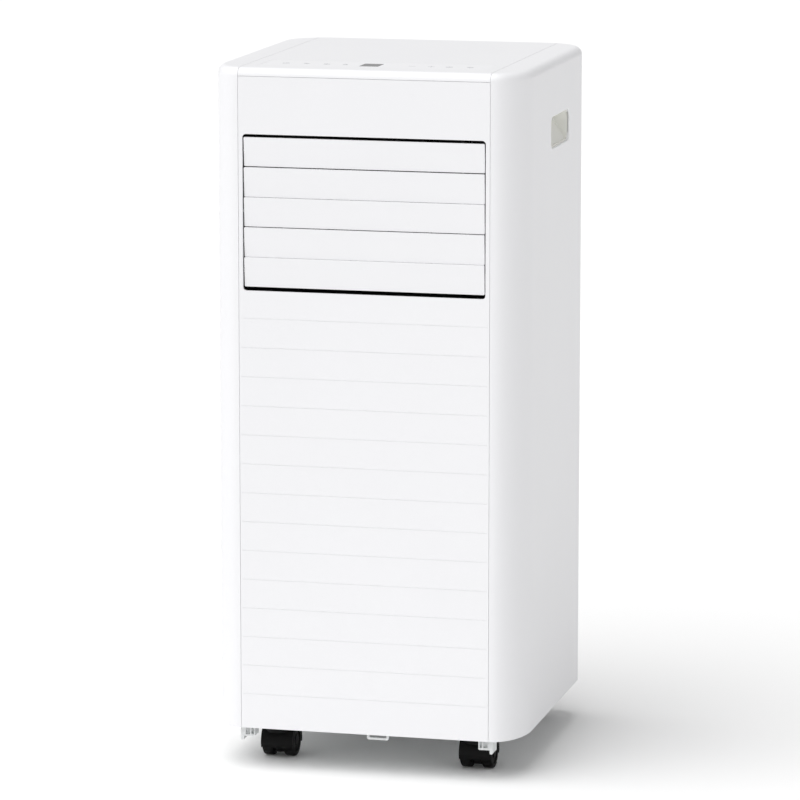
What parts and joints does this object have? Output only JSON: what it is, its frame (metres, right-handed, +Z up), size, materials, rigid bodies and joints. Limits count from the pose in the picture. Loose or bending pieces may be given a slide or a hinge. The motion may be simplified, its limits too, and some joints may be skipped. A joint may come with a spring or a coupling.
{
  "type": "portable air conditioner",
  "caption": "Slim upright air conditioner on casters: ribbed front, shut outlet blades near the top, handle recesses in the sides, flush control panel and a rear exhaust port.",
  "frame": {"origin": "on the floor under the middle of the casing", "axes": "+X to the right seen from the front, -Y out of the front, +Z up"},
  "size_m": [0.315, 0.32, 0.7],
  "materials": {
    "white_plastic": "fine satin texture",
    "tray_plastic": "satin",
    "grey_plastic": "satin",
    "black_plastic": "satin",
    "display_lens": "polished",
    "circuit_board": "solder mask",
    "plated_steel": "zinc plated",
    "black_enamel": "semi-gloss",
    "rubber": "matte",
    "aluminium": "mill",
    "copper": "drawn tube",
    "filter_mesh": "woven"
  },
  "bodies": {
    "casing": {"front_panel": "white_plastic", "left_side_shell": "white_plastic", "right_side_shell": "white_plastic", "rear_panel": "white_plastic", "top_cover": "white_plastic", "left_handle_cup": "grey_plastic", "right_handle_cup": "grey_plastic", "base_tray": "tray_plastic", "control_overlay": "white_plastic", "display_lens": "display_lens", "control_board": "circuit_board", "louvre_frame": "black_plastic", "louvre_motor": "plated_steel", "evap_scroll": "grey_plastic", "evap_motor": "plated_steel", "cond_scroll": "grey_plastic", "cond_motor": "plated_steel", "compressor": "black_enamel", "compressor_foot_1": "rubber", "compressor_foot_2": "rubber", "compressor_foot_3": "rubber", "accumulator": "black_enamel", "evaporator_coil": "aluminium", "condenser_coil": "aluminium", "discharge_pipe": "copper", "suction_pipe": "copper", "liquid_pipe": "copper", "mid_partition": "grey_plastic", "control_box": "plated_steel", "capacitor": "aluminium", "exhaust_ring": "grey_plastic", "cord_gland": "rubber"},
    "louvre_blade_1": {"louvre_blade_1": "white_plastic"},
    "louvre_blade_2": {"louvre_blade_2": "white_plastic"},
    "louvre_blade_3": {"louvre_blade_3": "white_plastic"},
    "louvre_blade_4": {"louvre_blade_4": "white_plastic"},
    "louvre_blade_5": {"louvre_blade_5": "white_plastic"},
    "louvre_link": {"louvre_link": "black_plastic"},
    "vane_1": {"vane_1": "black_plastic"},
    "vane_2": {"vane_2": "black_plastic"},
    "vane_3": {"vane_3": "black_plastic"},
    "vane_4": {"vane_4": "black_plastic"},
    "vane_5": {"vane_5": "black_plastic"},
    "vane_6": {"vane_6": "black_plastic"},
    "vane_link": {"vane_link": "black_plastic"},
    "evap_fan": {"evap_fan_wheel": "black_plastic"},
    "cond_fan": {"cond_fan_wheel": "black_plastic"},
    "filter": {"filter_frame": "white_plastic", "filter_mesh": "filter_mesh"},
    "upper_drain_plug": {"upper_drain_plug": "rubber"},
    "lower_drain_plug": {"lower_drain_plug": "rubber"},
    "caster_front_left": {"caster_front_left_body": "black_plastic"},
    "wheels_front_left": {"caster_front_left_wheels": "black_plastic"},
    "caster_front_right": {"caster_front_right_body": "black_plastic"},
    "wheels_front_right": {"caster_front_right_wheels": "black_plastic"},
    "caster_rear_left": {"caster_rear_left_body": "black_plastic"},
    "wheels_rear_left": {"caster_rear_left_wheels": "black_plastic"},
    "caster_rear_right": {"caster_rear_right_body": "black_plastic"},
    "wheels_rear_right": {"caster_rear_right_wheels": "black_plastic"}
  },
  "joints": [
    {"name": "louvre_blade_1_turn", "type": "hinge", "parent": "casing", "child": "louvre_blade_1", "pos_m": [0, -0.1508, 0.61805], "axis": [1, 0, 0], "range_deg": [0, 80]},
    {"name": "louvre_blade_2_turn", "type": "hinge", "parent": "casing", "child": "louvre_blade_2", "pos_m": [0, -0.1508, 0.58855], "axis": [1, 0, 0], "range_deg": [0, 80]},
    {"name": "louvre_blade_3_turn", "type": "hinge", "parent": "casing", "child": "louvre_blade_3", "pos_m": [0, -0.1508, 0.55905], "axis": [1, 0, 0], "range_deg": [0, 80]},
    {"name": "louvre_blade_4_turn", "type": "hinge", "parent": "casing", "child": "louvre_blade_4", "pos_m": [0, -0.1508, 0.52955], "axis": [1, 0, 0], "range_deg": [0, 80]},
    {"name": "louvre_blade_5_turn", "type": "hinge", "parent": "casing", "child": "louvre_blade_5", "pos_m": [0, -0.1508, 0.50005], "axis": [1, 0, 0], "range_deg": [0, 80]},
    {"name": "louvre_link_pin", "type": "hinge", "parent": "louvre_blade_3", "child": "louvre_link", "pos_m": [0.1235, -0.14476, 0.5538], "axis": [1, 0, 0], "range_deg": [-80, 0]},
    {"name": "vane_1_turn", "type": "hinge", "parent": "casing", "child": "vane_1", "pos_m": [-0.095, -0.123, 0.5583], "axis": [0, 0, 1], "range_deg": [-30, 30]},
    {"name": "vane_2_turn", "type": "hinge", "parent": "casing", "child": "vane_2", "pos_m": [-0.057, -0.123, 0.5583], "axis": [0, 0, 1], "range_deg": [-30, 30]},
    {"name": "vane_3_turn", "type": "hinge", "parent": "casing", "child": "vane_3", "pos_m": [-0.019, -0.123, 0.5583], "axis": [0, 0, 1], "range_deg": [-30, 30]},
    {"name": "vane_4_turn", "type": "hinge", "parent": "casing", "child": "vane_4", "pos_m": [0.019, -0.123, 0.5583], "axis": [0, 0, 1], "range_deg": [-30, 30]},
    {"name": "vane_5_turn", "type": "hinge", "parent": "casing", "child": "vane_5", "pos_m": [0.057, -0.123, 0.5583], "axis": [0, 0, 1], "range_deg": [-30, 30]},
    {"name": "vane_6_turn", "type": "hinge", "parent": "casing", "child": "vane_6", "pos_m": [0.095, -0.123, 0.5583], "axis": [0, 0, 1], "range_deg": [-30, 30]},
    {"name": "vane_link_pin", "type": "hinge", "parent": "vane_3", "child": "vane_link", "pos_m": [-0.019, -0.114, 0.483], "axis": [0, 0, 1], "range_deg": [-30, 30]},
    {"name": "evap_fan_spin", "type": "hinge", "parent": "casing", "child": "evap_fan", "pos_m": [0, 0.015, 0.545], "axis": [1, 0, 0], "continuous": true},
    {"name": "cond_fan_spin", "type": "hinge", "parent": "casing", "child": "cond_fan", "pos_m": [0, 0, 0.3], "axis": [1, 0, 0], "continuous": true},
    {"name": "filter_slide", "type": "slide", "parent": "casing", "child": "filter", "axis": [0, 1, 0], "range_m": [0, 0.05]},
    {"name": "upper_drain_plug_pull", "type": "slide", "parent": "casing", "child": "upper_drain_plug", "axis": [0, 1, 0], "range_m": [0, 0.03]},
    {"name": "lower_drain_plug_pull", "type": "slide", "parent": "casing", "child": "lower_drain_plug", "axis": [0, 1, 0], "range_m": [0, 0.03]},
    {"name": "caster_front_left_swivel", "type": "hinge", "parent": "casing", "child": "caster_front_left", "pos_m": [-0.102, -0.107, 0.04], "axis": [0, 0, 1], "continuous": true},
    {"name": "caster_front_left_roll", "type": "hinge", "parent": "caster_front_left", "child": "wheels_front_left", "pos_m": [-0.102, -0.096, 0.016], "axis": [1, 0, 0], "continuous": true},
    {"name": "caster_front_right_swivel", "type": "hinge", "parent": "casing", "child": "caster_front_right", "pos_m": [0.102, -0.107, 0.04], "axis": [0, 0, 1], "continuous": true},
    {"name": "caster_front_right_roll", "type": "hinge", "parent": "caster_front_right", "child": "wheels_front_right", "pos_m": [0.102, -0.096, 0.016], "axis": [1, 0, 0], "continuous": true},
    {"name": "caster_rear_left_swivel", "type": "hinge", "parent": "casing", "child": "caster_rear_left", "pos_m": [-0.102, 0.107, 0.04], "axis": [0, 0, 1], "continuous": true},
    {"name": "caster_rear_left_roll", "type": "hinge", "parent": "caster_rear_left", "child": "wheels_rear_left", "pos_m": [-0.102, 0.118, 0.016], "axis": [1, 0, 0], "continuous": true},
    {"name": "caster_rear_right_swivel", "type": "hinge", "parent": "casing", "child": "caster_rear_right", "pos_m": [0.102, 0.107, 0.04], "axis": [0, 0, 1], "continuous": true},
    {"name": "caster_rear_right_roll", "type": "hinge", "parent": "caster_rear_right", "child": "wheels_rear_right", "pos_m": [0.102, 0.118, 0.016], "axis": [1, 0, 0], "continuous": true}
  ],
  "couplings": [
    {"joint": "louvre_blade_1_turn", "follows": "louvre_blade_3_turn", "ratio": 1},
    {"joint": "louvre_blade_2_turn", "follows": "louvre_blade_3_turn", "ratio": 1},
    {"joint": "louvre_blade_4_turn", "follows": "louvre_blade_3_turn", "ratio": 1},
    {"joint": "louvre_blade_5_turn", "follows": "louvre_blade_3_turn", "ratio": 1},
    {"joint": "louvre_link_pin", "follows": "louvre_blade_3_turn", "ratio": -1},
    {"joint": "vane_1_turn", "follows": "vane_3_turn", "ratio": 1},
    {"joint": "vane_2_turn", "follows": "vane_3_turn", "ratio": 1},
    {"joint": "vane_4_turn", "follows": "vane_3_turn", "ratio": 1},
    {"joint": "vane_5_turn", "follows": "vane_3_turn", "ratio": 1},
    {"joint": "vane_6_turn", "follows": "vane_3_turn", "ratio": 1},
    {"joint": "vane_link_pin", "follows": "vane_3_turn", "ratio": -1}
  ]
}
